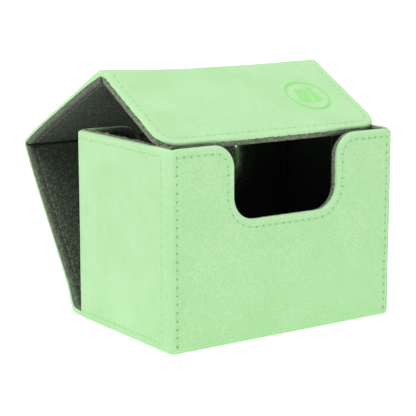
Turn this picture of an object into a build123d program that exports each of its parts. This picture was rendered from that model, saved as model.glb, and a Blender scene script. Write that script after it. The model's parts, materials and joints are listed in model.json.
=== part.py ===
from build123d import *
import math
import os

# A card deck box: a rigid leatherette-covered box, open at the top, with a thumb notch in
# its front and rear walls, and a three-panel cover hinged along its lower rear edge.
# The cover is modelled propped half open, with its flap resting in the box's mouth.
# Millimetres. The origin is the centre of the underside, +Z is up and the front faces -Y.

# Layers of every wall and panel
leather = 1.0
board = 1.6
lining = 0.7
wall = leather + board + lining

# Box
box_width = 100.0
box_depth = 63.5
box_height = 71.5
corner_radius = 2.0
rim_lip = wall / 2                  # leather covers the outer half of a rim, lining the inner half
turn_in = leather                   # depth of the layers folded over a board's cut edge

# Thumb notch, the same in the front and rear walls
notch_width = 46.0
notch_depth = 27.5
notch_shoulder_radius = 8.5
notch_floor_radius = 9.0

# Cover. Each fold turns about an axis inside its leather, fold_depth under the outer face.
cover_width = 98.0
cover_clearance = 0.3
flap_length = 45.3                  # from the fold axis to the free edge
flap_corner_radius = 8.0
fold_depth = 0.8
fold_setback = 3.2                  # from a fold axis to the stiff part of a panel
board_margin = 3.6                  # from a panel's sewn edge to its board
margin_bevel = 2.2                  # width of the bevelled margin outside the board
sewn_edge = 2.5                     # thickness left at a sewn edge
fold_lining = 0.5                   # the lining's thickness where it crosses a fold

# Pose of the propped cover
back_lean = 33.9                    # the back panel, from upright
top_rise = 27.6                     # the top panel rises towards the front
flap_fall = 28.9                    # the flap falls towards the front

# Small pieces
magnet_radius = 4.0
magnet_thickness = 1.0
magnet_spacing = 72.0
magnet_edge_distance = 9.0          # from the flap's free edge
thread_width = 0.5
thread_height = 0.15
stitch_inset = 2.8
side_stitch_inset = 2.8
side_seam_front = 6.0               # from the front face to a side wall's upright seam
cover_stitch_inset = 3.2

# Debossed badge on the flap: a ring round two fanned cards
badge_x = 29.2
badge_distance = 23.7               # from the flap's fold axis
badge_radius = 9.5
badge_line = 0.8
badge_depth = 0.3
badge_card = (6.0, 8.6)
badge_card_radius = 1.0
badge_card_shift = 1.5
badge_card_tilt = 14.0

# Derived sizes
half_depth = box_depth / 2
board_inner_x = box_width / 2 - leather - board
board_inner_y = half_depth - leather - board
well_x = box_width / 2 - wall
rim_board = box_height - turn_in
half_cover = cover_width / 2
fold_inset = wall - fold_depth       # from a fold axis to the inner face of a panel
back_length = box_height + cover_clearance + fold_inset - fold_depth
top_length = box_depth + cover_clearance + 2 * fold_inset
closed_flap_axis = box_height + cover_clearance + fold_inset
magnet_height = closed_flap_axis - flap_length + magnet_edge_distance


def direction(angle):
    """Unit vector in the YZ plane, turned by angle from +Y towards +Z."""
    return Vector(0, math.cos(math.radians(angle)), math.sin(math.radians(angle)))


# The chain of fold axes and panels, from the rear edge of the base to the flap
base_run = direction(0)
back_run = direction(90 - back_lean)
top_run = direction(180 - top_rise)
flap_run = direction(180 + flap_fall)
rear_axis = Vector(0, half_depth + fold_inset, fold_depth)
top_axis = rear_axis + back_run * back_length
flap_axis = top_axis + top_run * top_length


def panel_plane(axis, run):
    """Plane through a fold axis: X along the fold, Y along the panel, Z towards its inside."""
    return Plane(origin=axis, x_dir=(1, 0, 0), z_dir=Vector(1, 0, 0).cross(run))


def outward(run):
    """Outer normal of a panel that runs along run."""
    return run.cross(Vector(1, 0, 0))


back_plane = panel_plane(rear_axis, back_run)
top_plane = panel_plane(top_axis, top_run)
flap_plane = panel_plane(flap_axis, flap_run)

os.makedirs("parts", exist_ok=True)


def finish(piece, label):
    """Labels a finished piece and writes it to its own file."""
    piece.part.label = label
    export_step(piece.part, f"parts/{label}.step")


def footprint(inset):
    """The box's outline from above, moved inwards by inset."""
    width = box_width - 2 * inset
    depth = box_depth - 2 * inset
    with BuildSketch() as outline:
        if inset < corner_radius:
            RectangleRounded(width, depth, corner_radius - inset)
        else:
            Rectangle(width, depth)
    return outline.sketch


def notch_edge(grow):
    """Adds the notch's open edge, moved into the wall by grow, to the line being built."""
    half = notch_width / 2 + grow
    floor = box_height - notch_depth - grow
    shoulder = notch_shoulder_radius - grow
    corner = notch_floor_radius + grow
    rim = box_height - grow
    for side, turn in ((-1, 1), (1, -1)):
        rim_point = (side * (half + shoulder), rim)
        side_top = (side * half, rim - shoulder)
        side_bottom = (side * half, floor + corner)
        floor_point = (side * (half - corner), floor)
        RadiusArc(rim_point, side_top, turn * shoulder)
        Line(side_top, side_bottom)
        RadiusArc(side_bottom, floor_point, -turn * corner)
    Line((-(half - corner), floor), (half - corner, floor))


def notch_opening(grow):
    """The notch as a face, open upwards past the rim."""
    reach = notch_width / 2 + notch_shoulder_radius
    rim = box_height - grow
    above = box_height + wall
    with BuildSketch() as opening:
        with BuildLine():
            notch_edge(grow)
            Polyline((-reach, rim), (-reach, above), (reach, above), (reach, rim))
        make_face()
    return opening.sketch


# Layers of the box's walls, as rings that are cut into pieces below
with BuildPart() as board_ring:
    with BuildSketch(Plane.XY.offset(leather)):
        add(footprint(leather))
        add(footprint(leather + board), mode=Mode.SUBTRACT)
    extrude(amount=rim_board - leather)
    with BuildSketch(Plane.XZ):
        add(notch_opening(turn_in))
    extrude(amount=box_depth, both=True, mode=Mode.SUBTRACT)

with BuildPart() as lining_ring:
    with BuildSketch(Plane.XY.offset(leather + board)):
        add(footprint(rim_lip))
        add(footprint(wall), mode=Mode.SUBTRACT)
    extrude(amount=box_height - leather - board)
    with BuildSketch(Plane.XZ):
        add(notch_opening(0))
    extrude(amount=box_depth, both=True, mode=Mode.SUBTRACT)
    add(board_ring.part, mode=Mode.SUBTRACT)

# The box's outer leather, one strip wrapped round the four walls and over their rim
with BuildPart() as body_leather:
    with BuildSketch(Plane.XY.offset(leather)):
        add(footprint(0))
        add(footprint(rim_lip), mode=Mode.SUBTRACT)
    extrude(amount=box_height - leather)
    with BuildSketch(Plane.XZ):
        add(notch_opening(0))
    extrude(amount=box_depth, both=True, mode=Mode.SUBTRACT)
    add(board_ring.part, mode=Mode.SUBTRACT)
finish(body_leather, "body_leather")

with BuildPart() as base_leather:
    with BuildSketch():
        add(footprint(0))
    extrude(amount=leather)
finish(base_leather, "base_leather")

with BuildPart() as floor_board:
    with BuildSketch(Plane.XY.offset(leather)):
        Rectangle(2 * board_inner_x, 2 * board_inner_y)
    extrude(amount=board)
finish(floor_board, "floor_board")

with BuildPart() as floor_lining:
    with BuildSketch(Plane.XY.offset(leather + board)):
        Rectangle(2 * well_x, box_depth - 2 * wall)
    extrude(amount=lining)
finish(floor_lining, "floor_lining")

# Side walls run the full depth and take in the rounded corners
for side, name in ((-1, "left"), (1, "right")):
    with BuildPart() as side_board:
        add(board_ring.part)
        with Locations((side * box_width / 2, 0, 0)):
            Box(2 * (leather + board), box_depth, 2 * box_height, mode=Mode.INTERSECT)
    finish(side_board, f"{name}_board")
    with BuildPart() as side_lining:
        add(lining_ring.part)
        with Locations((side * box_width / 2, 0, 0)):
            Box(2 * wall, box_depth, 2 * box_height, mode=Mode.INTERSECT)
    finish(side_lining, f"{name}_lining")

with BuildPart() as rear_board:
    add(board_ring.part)
    with Locations((0, half_depth, 0)):
        Box(2 * board_inner_x, 2 * (leather + board), 2 * box_height, mode=Mode.INTERSECT)
finish(rear_board, "rear_board")

# The front wall's board has a pocket behind the leather for each magnet
with BuildPart() as front_board:
    add(board_ring.part)
    with Locations((0, -half_depth, 0)):
        Box(2 * board_inner_x, 2 * (leather + board), 2 * box_height, mode=Mode.INTERSECT)
    with BuildSketch(Plane.XZ.offset(half_depth - leather)):
        with Locations((0, magnet_height)):
            with GridLocations(magnet_spacing, 0, 2, 1):
                Circle(magnet_radius)
    extrude(amount=-magnet_thickness, mode=Mode.SUBTRACT)
finish(front_board, "front_board")

with BuildPart() as front_magnets:
    with BuildSketch(Plane.XZ.offset(half_depth - leather)):
        with Locations((0, magnet_height)):
            with GridLocations(magnet_spacing, 0, 2, 1):
                Circle(magnet_radius)
    extrude(amount=-magnet_thickness)
finish(front_magnets, "front_magnets")

for end, name in ((-1, "front"), (1, "rear")):
    with BuildPart() as end_lining:
        add(lining_ring.part)
        with Locations((0, end * half_depth, 0)):
            Box(2 * well_x, 2 * wall, 2 * box_height, mode=Mode.INTERSECT)
    finish(end_lining, f"{name}_lining")


def end_seam(plane, height):
    """Thread down both edges of a notched wall, along its rim and round the notch."""
    edge = box_width / 2 - stitch_inset
    rim = box_height - stitch_inset
    shoulder_end = notch_width / 2 + notch_shoulder_radius
    with BuildPart() as seam:
        with BuildSketch(plane):
            with BuildLine():
                Polyline((-edge, stitch_inset), (-edge, rim), (-shoulder_end, rim))
                notch_edge(stitch_inset)
                Polyline((shoulder_end, rim), (edge, rim), (edge, stitch_inset))
            trace(line_width=thread_width)
        extrude(amount=height)
    return seam


def side_seam(plane, height):
    """Thread along a side wall's top and bottom, joined by an upright run near its front."""
    rear = half_depth - corner_radius
    front = side_seam_front - half_depth
    high = box_height - side_stitch_inset
    with BuildPart() as seam:
        with BuildSketch(plane):
            with BuildLine():
                Polyline((rear, high), (front, high), (front, side_stitch_inset),
                         (rear, side_stitch_inset))
            trace(line_width=thread_width)
        extrude(amount=height)
    return seam


finish(end_seam(Plane.XZ.offset(half_depth), thread_height), "front_stitching")
finish(end_seam(Plane.XZ.offset(-half_depth), -thread_height), "rear_stitching")
finish(side_seam(Plane.YZ.offset(-box_width / 2), -thread_height), "left_stitching")
finish(side_seam(Plane.YZ.offset(box_width / 2), thread_height), "right_stitching")


# Cover panels. Each is a leather sheet, a board and a lining that closes down on to the
# leather in a bevelled, sewn margin outside the board.
def panel_outline(start, end, inset, corner):
    """A panel's outline between two distances from its fold axis, rounded if corner is given."""
    width = cover_width - 2 * inset
    with BuildSketch() as outline:
        with Locations((0, (start + end) / 2)):
            Rectangle(width, end - start)
        if corner:
            fillet(outline.vertices().group_by(Axis.Y)[-1], corner)
    return outline.sketch


def panel(plane, name, start, end, corner=0.0, badge=False):
    """Writes the leather, board and lining of one cover panel. A panel with rounded corners
    ends in a sewn edge of its own, so its board stops short of it."""
    board_end = end - board_margin if corner else end
    board_corner = corner - board_margin if corner else 0.0
    skin = panel_outline(start, end, 0, corner)
    core = panel_outline(start, board_end, board_margin, board_corner)

    with BuildPart() as panel_leather:
        with BuildSketch(plane.offset(-fold_depth)):
            add(skin)
        extrude(amount=leather)
        if badge:
            with BuildSketch(plane.offset(-fold_depth)):
                add(badge_lines())
            extrude(amount=badge_depth, mode=Mode.SUBTRACT)
    finish(panel_leather, f"{name}_leather")

    with BuildPart() as panel_board:
        with BuildSketch(plane.offset(leather - fold_depth)):
            add(core)
        extrude(amount=board)
        if badge:
            with BuildSketch(plane.offset(leather - fold_depth)):
                add(flap_magnet_spots())
            extrude(amount=magnet_thickness, mode=Mode.SUBTRACT)
    finish(panel_board, f"{name}_board")

    with BuildPart() as panel_lining:
        with BuildSketch(plane.offset(leather - fold_depth)):
            add(skin)
        extrude(amount=board + lining)
        inner_face = panel_lining.faces().sort_by(Axis((0, 0, 0), plane.z_dir))[-1]
        run_axis = Axis(plane.origin, plane.y_dir)
        sewn = inner_face.edges().sort_by(run_axis)[1:] if corner else (
            inner_face.edges().filter_by(run_axis)
        )
        chamfer(sewn, length=margin_bevel, length2=wall - sewn_edge, reference=inner_face)
        with BuildSketch(plane.offset(leather - fold_depth)):
            add(core)
        extrude(amount=board, mode=Mode.SUBTRACT)
    finish(panel_lining, f"{name}_lining")


def badge_lines():
    """The badge's lines: a ring, a front card and the part of a rear card that it leaves."""
    with BuildSketch() as lines:
        with Locations((badge_x, badge_distance)):
            Circle(badge_radius)
            Circle(badge_radius - badge_line, mode=Mode.SUBTRACT)
            for side in (1, -1):
                width, height = badge_card
                spot = Location((side * badge_card_shift, 0), -side * badge_card_tilt)
                with Locations(spot):
                    RectangleRounded(width, height, badge_card_radius)
                    RectangleRounded(
                        width - 2 * badge_line,
                        height - 2 * badge_line,
                        badge_card_radius / 2,
                        mode=Mode.SUBTRACT,
                    )
    return lines.sketch


def flap_magnet_spots():
    """The two magnets of the flap, near its free edge."""
    with BuildSketch() as spots:
        with Locations((0, flap_length - magnet_edge_distance)):
            with GridLocations(magnet_spacing, 0, 2, 1):
                Circle(magnet_radius)
    return spots.sketch


panel(back_plane, "back", fold_setback, back_length - fold_setback)
panel(top_plane, "top", fold_setback, top_length - fold_setback)
panel(flap_plane, "flap", fold_setback, flap_length, flap_corner_radius, badge=True)

with BuildPart() as flap_magnets:
    with BuildSketch(flap_plane.offset(leather - fold_depth)):
        add(flap_magnet_spots())
    extrude(amount=magnet_thickness)
finish(flap_magnets, "flap_magnets")


# Thread along the cover's two side edges, and round the flap's free edge
def panel_seam(plane, name, start, end):
    """Two straight runs of thread on the outside of a panel."""
    with BuildPart() as seam:
        with BuildSketch(plane.offset(-fold_depth)):
            with Locations((0, (start + end) / 2)):
                with GridLocations(cover_width - 2 * cover_stitch_inset, 0, 2, 1):
                    Rectangle(thread_width, end - start)
        extrude(amount=-thread_height)
    finish(seam, name)


panel_seam(back_plane, "back_stitching", fold_setback, back_length - fold_setback)
panel_seam(top_plane, "top_stitching", fold_setback, top_length - fold_setback)

with BuildPart() as flap_stitching:
    with BuildSketch(flap_plane.offset(-fold_depth)):
        seam_edge = half_cover - cover_stitch_inset
        seam_end = flap_length - cover_stitch_inset
        with BuildLine():
            FilletPolyline(
                (-seam_edge, fold_setback),
                (-seam_edge, seam_end),
                (seam_edge, seam_end),
                (seam_edge, fold_setback),
                radius=flap_corner_radius - cover_stitch_inset,
            )
        trace(line_width=thread_width)
    extrude(amount=-thread_height)
finish(flap_stitching, "flap_stitching")


# Folds: only leather and lining cross them, so they bend
def fold_face(axis, run_in, length_in, run_out, height):
    """One face of a bent layer, as line ends: height is how far it lies outside the axis.
    Outside the axis it turns in an arc, and inside it turns in a mitred corner."""
    normal_in = outward(run_in)
    normal_out = outward(run_out)
    half_turn = math.radians(normal_in.get_angle(normal_out) / 2)
    normal_mid = (normal_in + normal_out).normalized()
    reach = height if height > 0 else height / math.cos(half_turn)
    return [
        axis + normal_in * height - run_in * length_in,
        axis + normal_in * height,
        axis + normal_mid * reach,
        axis + normal_out * height,
        axis + normal_out * height + run_out * fold_setback,
    ]


def fold_section(axis, run_in, length_in, run_out, outer, inner):
    """Section of a layer that bends round axis, from the end of one panel to the next."""
    faces = []
    for height in (outer, inner):
        line = fold_face(axis, run_in, length_in, run_out, height)
        faces.append([(point.Y, point.Z) for point in line])
    with BuildSketch() as section:
        with BuildLine():
            for height, line in zip((outer, inner), faces):
                if height > 0:
                    Line(line[0], line[1])
                    ThreePointArc(line[1], line[2], line[3])
                    Line(line[3], line[4])
                else:
                    Polyline(line[0], line[2], line[4])
            Line(faces[0][0], faces[1][0])
            Line(faces[0][-1], faces[1][-1])
        make_face()
    return section.sketch


folds = (
    ("rear_fold", rear_axis, base_run, fold_inset, back_run),
    ("top_fold", top_axis, back_run, fold_setback, top_run),
    ("flap_fold", flap_axis, top_run, fold_setback, flap_run),
)
layers = (
    ("leather", fold_depth, fold_depth - leather),
    ("lining", fold_depth - leather, fold_depth - leather - fold_lining),
)
for name, axis, run_in, length_in, run_out in folds:
    for layer, outer, inner in layers:
        with BuildPart() as strip:
            with BuildSketch(Plane.YZ):
                add(fold_section(axis, run_in, length_in, run_out, outer, inner))
            extrude(amount=half_cover, both=True)
        finish(strip, f"{name}_{layer}")
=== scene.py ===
import json
import math

import bmesh
import bpy
import numpy as np
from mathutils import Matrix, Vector, kdtree, noise
from mathutils.geometry import delaunay_2d_cdt


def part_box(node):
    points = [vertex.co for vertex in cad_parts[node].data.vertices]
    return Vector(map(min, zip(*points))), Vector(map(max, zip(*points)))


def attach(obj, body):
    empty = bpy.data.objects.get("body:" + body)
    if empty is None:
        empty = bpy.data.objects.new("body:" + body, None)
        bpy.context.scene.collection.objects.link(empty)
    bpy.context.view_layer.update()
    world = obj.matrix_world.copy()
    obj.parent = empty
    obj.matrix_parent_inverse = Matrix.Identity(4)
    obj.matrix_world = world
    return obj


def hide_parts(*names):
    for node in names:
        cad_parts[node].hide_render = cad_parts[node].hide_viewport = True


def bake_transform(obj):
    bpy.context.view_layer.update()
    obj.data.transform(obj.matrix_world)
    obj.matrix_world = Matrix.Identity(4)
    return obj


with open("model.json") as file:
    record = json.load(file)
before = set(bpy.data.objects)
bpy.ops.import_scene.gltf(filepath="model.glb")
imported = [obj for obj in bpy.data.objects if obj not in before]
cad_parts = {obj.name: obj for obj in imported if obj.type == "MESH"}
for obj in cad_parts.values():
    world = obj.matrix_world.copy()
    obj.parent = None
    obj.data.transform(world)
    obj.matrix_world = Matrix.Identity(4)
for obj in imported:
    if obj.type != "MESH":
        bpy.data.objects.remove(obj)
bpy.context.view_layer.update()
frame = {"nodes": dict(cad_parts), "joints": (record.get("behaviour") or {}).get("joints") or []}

# A card deck box in mint suede-touch leatherette, its cover propped half open.
# Metres, +Z up, the front faces -Y. Shapes are worked out in millimetres and scaled at the end.

MM = 0.001

# -------- sizes, in millimetres
# Box
WALL = 3.3
LIP = 1.35  # how far the leather reaches across the rim
CORNER = 2.0  # outer radius of the upright corners
INNER_CORNER = 0.25
SQUEEZE = 4.0  # how far from a corner the inner layers are drawn in
NOTCH_HALF = 23.0
NOTCH_DEPTH = 27.5
SHOULDER = 8.5  # radius of the notch's upper corners
NOTCH_FLOOR = 9.0  # and of its lower ones
CORNER_DROP = (0.2, 0.1, 0.25, 0.7)  # how much lower the rim is at each corner
CORNER_SPREAD = 2.0
FAR_CROWN = 0.3  # how much the rear and right rims stand above their lining
RIM_BAND = 3.0  # how far in from the rim the drop and the crown reach
RIM_TOP = 6.0  # and how far down the notch's sides
REAR_LIP = 1.1  # how much further the rear wall's leather turns over
NOTCH_PROUD = 0.45  # how far the lining's cut edge stands out in the front notch
SIDE_PROUD = 0.6  # and above the left wall's rim
FLOOR_TUCK = 0.5  # how far the walls' lining goes down behind the floor's
FLOOR_MARGIN = 0.2  # how far the floor's lining goes under the walls'
FLOOR_RISE = 0.25  # and how far it curls up there

# Sheets
SHEET = 0.5  # thickness of each modelled sheet
RIM_ROUND = 0.95  # radii that the sheets turn over
WELL_ROUND = 0.65
BASE_ROUND = 1.5
COVER_ROUND = 1.0
BOARD_THICK = 1.5
BOARD_HEIGHT = -0.22  # of the cover boards' outer face, from the fold axes
BOARD_MARGIN = 3.6

# Cover: leather with its three folds, rear hinge first
FLAP_LENGTH = 45.3
FLAP_CORNER = 8.0
FOLD_DEPTH = 0.8  # from the leather's outer face in to the fold axes
FOLD_RADII = (2.2, 1.4, 3.6)  # bend radii of the layer that the axes lie in
FOLD_BULGE = (0.0, 0.35, 0.1)  # how far the leather stands out at each fold
FOLD_SPREAD = 1.8
FOLD_THIN = (2.0, 0.95, 0.95)  # how far inside the fold axes the lining lies at each fold
FOLD_FLAT = 1.3  # the thin strip's half width
FOLD_REACH = 3.3  # and where the panel is at its full thickness
RIDGE_RISE = 0.4  # how much the flap fold rises from its right end to its left
RIDGE_END = 0.7  # and how much more right at its left end
RIDGE_SPREAD = (13.0, 4.5)  # on the top panel's side and on the flap's
SKIN_PUFF = 0.25  # how far the leather's wrapped edge swells, off the flap
FLAP_PROUD = 0.55  # how far the lining's cut edge stands out on the flap
SAG = 0.8  # how far the middle of the flap fold hangs
SAG_REACH = 26.0
BOW = (1.1, 1.15)  # how far the back and the top panel bow outwards
BOW_FADE = 0.45  # and how much less at the right
HINGE_SLACK = (2.5, 0.6)  # how far leather and lining hang out behind the rear hinge
HINGE_SPREAD = (2.8, 9.0)  # of that slack, before the hinge and after it
HINGE_PUFF = 0.45  # how much wider the cover is at the rear hinge
HINGE_LIFT = 0.9  # how much higher the turned edge and the lining lie there

# Badge
BADGE_X = 29.2
BADGE_U = 23.7  # from the flap's fold axis
BADGE_RADIUS = 9.5
BADGE_RING = 1.3
BADGE_GAP = 0.8  # between the two cards
BADGE_DEPTH = 0.5
BADGE_BEVEL = 0.5
CARD = (5.6, 8.4, 1.0)  # width, height and corner radius
CARD_SHIFT = 1.9
CARD_TILT = 14.0  # degrees

# Seams
PITCH = 3.0
STITCH_INSET = 2.8
COVER_INSET = 3.2
SIDE_FRONT = 6.0  # from the front face to a side wall's upright seam
SIDE_GROOVE = 0.7  # a side wall's seam against an end wall's
SIDE_PIT = 0.45
GROOVE = 0.2
GROOVE_WIDTH = 0.6
PIT = 0.3
PIT_WIDTH = 0.25
LINING_PIT_WIDTH = 0.42
PIT_RING = 0.17  # radius of the mesh points round each needle hole
PUCKER = 0.8
THREAD = 0.2
THREAD_RISE = 0.1
THREAD_DIP = 0.3
THREAD_STEPS = 7
THREAD_SIDES = 6

# Mesh
GRID = 2.4  # spacing of loose points in the leather
LINING_GRID = 2.6
FLOOR_GRID = 2.2
BADGE_GRID = 0.38
RIM_STEP = 0.8  # spacing along rows
BASE_STEP = 1.1
EDGE_STEP = 0.9
SEAM_STEP = 0.75
LEVEL_STEP = 2.0
COLUMN_STEP = 2.2
SEAM_ROWS = (-0.9, -0.45, 0.0, 0.45, 0.9)
WELL_SEAM_ROWS = (-0.5, 0.0, 0.5)
FOLD_ROWS = (-3.8, -3.3, -2.8, -2.3, -1.8, -1.3, -0.9, -0.45, 0, 0.45, 0.9, 1.3, 1.8, 2.3,
             2.8, 3.3, 3.8)
WELD = 2e-6  # metres

# Unevenness: height and size of slow waves, and of ragged cut edges
BOX_WAVE = (0.1, 17.0)
WELL_WAVE = (0.1, 12.0)
FLOOR_WAVE = (0.1, 9.0)
COVER_WAVE = (0.12, 16.0)
COVER_LINING_WAVE = (0.12, 11.0)
WELL_RAGGED = (0.13, 0.9)
NOTCH_RAGGED = (0.2, 0.7)
SIDE_RAGGED = (0.9, 0.9)
COVER_RAGGED = 0.22
COVER_LINING_RAGGED = (0.16, 0.7)

# -------- places, from the frame
leather_low, leather_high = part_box("body_leather")
HALF_X = leather_high.x / MM
HALF_Y = leather_high.y / MM
TOP = leather_high.z / MM
HALF_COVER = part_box("top_leather")[1].x / MM
joints = {j["name"]: j for j in frame["joints"]}
axes = [np.array(joints[n]["pos_m"][1:]) / MM for n in ("rear_hinge", "top_fold", "flap_fold")]


# -------- helpers
def ramp(value, start, reach):
    """Rises evenly from 0 at start to 1 at start + reach, where reach may be negative."""
    return np.clip((value - start) / reach, 0, 1)


def bell(distance, width):
    """1 at no distance, and falls off smoothly over about the width."""
    return np.exp(-((distance / width) ** 2))


def ease(t):
    return t * t * (3 - 2 * t)


def waves(points, height, size, seed):
    """Smooth noise at each point, about -height to height."""
    shift = Vector((seed * 7.1, seed * 3.3, seed * 5.7))
    return height * np.array([noise.noise(Vector(p) / size + shift) for p in points])


def resample(points, spacing):
    """Points along a flat polyline at an even spacing, both ends kept."""
    points = np.asarray(points, float)
    steps = np.hypot(*np.diff(points, axis=0).T)
    length = np.concatenate([[0], np.cumsum(steps)])
    count = max(1, int(round(length[-1] / spacing)))
    marks = np.linspace(0, length[-1], count + 1)
    return np.stack([np.interp(marks, length, points[:, k]) for k in (0, 1)], axis=1)


def rectangle(half, low, high):
    """The evenly sampled outline of a rectangle that is centred across."""
    loop = [(-half, low), (half, low), (half, high), (-half, high), (-half, low)]
    return resample(loop, LEVEL_STEP)[:-1]


def arc(centre, radius, start, end, count):
    """Points of an arc, angles in degrees."""
    a = np.radians(np.linspace(start, end, count + 1))
    return [(centre[0] + radius * math.cos(t), centre[1] + radius * math.sin(t)) for t in a]


def nearest(points, line):
    """Distance from each point to a polyline."""
    points = np.asarray(points, float)
    best = np.full(len(points), 1e9)
    for a, b in zip(line[:-1], line[1:]):
        step = np.asarray(b, float) - a
        t = np.clip(((points - a) @ step) / max(step @ step, 1e-12), 0, 1)
        best = np.minimum(best, np.hypot(*(points - a - t[:, None] * step).T))
    return best


def search_tree(points):
    """A tree that finds the nearest of some flat points."""
    tree = kdtree.KDTree(len(points))
    for i, p in enumerate(points):
        tree.insert((p[0], p[1], 0), i)
    tree.balance()
    return tree


class Profile:
    """How a sheet turns over its edge: a path of (inset, depth), unrolled into one length."""

    def __init__(self, path):
        path = np.asarray(path, float)
        steps = np.hypot(*np.diff(path, axis=0).T)
        self.v = path[0, 0] - np.concatenate([[0], np.cumsum(steps)])
        self.path = path

    def at(self, v):
        """Inset and depth at each unrolled inset v."""
        inset, depth = (np.interp(v, self.v[::-1], part) for part in self.path[::-1].T)
        return np.where(v > self.v[0], v, inset), depth


def triangulate(loop, rows, spots, spacing):
    """Triangles inside a flat loop that follow the rows and take in the loose spots."""
    verts, edges = [], []
    for line in [loop, *rows]:
        first = len(verts)
        verts.extend(tuple(p) for p in line)
        edges.extend((i, i + 1) for i in range(first, len(verts) - 1))
        if line is loop:
            edges.append((len(verts) - 1, first))
    verts.extend(tuple(p) for p in spots)
    tree = search_tree(verts)
    low, high = np.min(loop, axis=0), np.max(loop, axis=0)
    for j, y in enumerate(np.arange(low[1] + spacing / 2, high[1], spacing * 0.87)):
        for x in np.arange(low[0] + spacing * (0.5 + 0.5 * (j % 2)), high[0], spacing):
            if tree.find((x, y, 0))[2] > spacing * 0.6:
                verts.append((x, y))
    made = delaunay_2d_cdt([Vector(p) for p in verts], edges, [], 1, 1e-5)
    return np.array([(p.x, p.y) for p in made[0]]), made[2]


def build(name, faces, points, attributes, thick=SHEET, flip=False):
    """A mesh piece from faces and their points in millimetres; a thick one is a sheet."""
    mesh = bpy.data.meshes.new(name)
    faces = [tuple(reversed(f)) if flip else tuple(f) for f in faces]
    mesh.from_pydata([tuple(p) for p in points * MM], [], faces)
    rest = mesh.attributes.new("rest", "FLOAT_VECTOR", "POINT")
    rest.data.foreach_set("vector", points.astype(np.float32).ravel())
    for key, values in attributes.items():
        layer = mesh.attributes.new(key, "FLOAT", "POINT")
        layer.data.foreach_set("value", np.asarray(values, np.float32))
    mesh.update()
    mesh.shade_smooth()
    piece = bpy.data.objects.new(name, mesh)
    bpy.context.scene.collection.objects.link(piece)
    if thick:
        sharpen_border(mesh)
        shell = piece.modifiers.new("thickness", "SOLIDIFY")
        shell.thickness = thick * MM
        shell.offset = -1
    return piece


def sharpen_border(mesh):
    """Marks a sheet's border edges sharp, so that its cut edge doesn't shade into its face."""
    uses = {}
    for face in mesh.polygons:
        for key in face.edge_keys:
            uses[key] = uses.get(key, 0) + 1
    for edge in mesh.edges:
        edge.use_edge_sharp = uses[tuple(sorted(edge.vertices))] == 1


def edit(piece, change):
    """Makes one bmesh change to a piece."""
    work = bmesh.new()
    work.from_mesh(piece.data)
    change(work)
    work.to_mesh(piece.data)
    work.free()


def weld(piece):
    """Joins the two ends of an unrolled strip."""
    edit(piece, lambda work: bmesh.ops.remove_doubles(work, verts=work.verts, dist=WELD))
    sharpen_border(piece.data)
    return piece


# -------- the box, unrolled
# s runs round the perimeter: half of the right wall, rear, left, front, half of the right
ARC = CORNER * math.pi / 2
FLAT_X = HALF_X - CORNER
FLAT_Y = HALF_Y - CORNER
REAR_START = FLAT_Y + ARC
LEFT_START = REAR_START + 2 * FLAT_X + ARC
FRONT_START = LEFT_START + 2 * FLAT_Y + ARC
RIGHT_START = FRONT_START + 2 * FLAT_X + ARC
PERIMETER = RIGHT_START + FLAT_Y
FRONT_MID = FRONT_START + FLAT_X
REAR_MID = REAR_START + FLAT_X
LEFT_MID = LEFT_START + FLAT_Y
CORNER_STARTS = (FLAT_Y, LEFT_START - ARC, FRONT_START - ARC, RIGHT_START - ARC)
CORNER_SIDES = ((1, 1), (-1, 1), (-1, -1), (1, -1))
CORNER_SHARES = ((0.27, 0.5, 0.72), (0.28, 0.5, 0.73)) * 2
# Where the mesh's columns stand in the rounded corners
COLUMNS = [start + ARC * share for start, shares in zip(CORNER_STARTS, CORNER_SHARES)
           for share in shares]


def fitted(t, half, depth):
    """A wall's coordinate, drawn in near its ends so that deeper layers meet at the corner."""
    radius = np.maximum(CORNER - depth, INNER_CORNER)
    reach = half + CORNER - depth - radius
    start = half - SQUEEZE
    over = ramp(np.abs(t), start, SQUEEZE)
    return np.sign(t) * (np.minimum(np.abs(t), start) + over * (reach - start))


def box_place(s, z, depth):
    """Points on the box's walls: s round the perimeter, z up, depth into the wall."""
    s, z, depth = (np.asarray(a, float) for a in np.broadcast_arrays(s, z, depth))
    t = np.where(s >= RIGHT_START, s - PERIMETER, s)
    x, y = HALF_X - depth, fitted(t, FLAT_Y, depth)
    for start, wall_x, wall_y in (
            (REAR_START, fitted(REAR_MID - t, FLAT_X, depth), HALF_Y - depth),
            (LEFT_START, depth - HALF_X, fitted(LEFT_MID - t, FLAT_Y, depth)),
            (FRONT_START, fitted(t - FRONT_MID, FLAT_X, depth), depth - HALF_Y)):
        x = np.where(t >= start, wall_x, x)
        y = np.where(t >= start, wall_y, y)
    radius = np.maximum(CORNER - depth, INNER_CORNER)
    cx = HALF_X - depth - radius
    cy = HALF_Y - depth - radius
    for k, (start, (side_x, side_y)) in enumerate(zip(CORNER_STARTS, CORNER_SIDES)):
        where = (s >= start) & (s < start + ARC)
        a = (k + (s - start) / ARC) * math.pi / 2
        x = np.where(where, side_x * cx + radius * np.cos(a), x)
        y = np.where(where, side_y * cy + radius * np.sin(a), y)
    return np.stack([x, y, z], axis=1)


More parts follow.
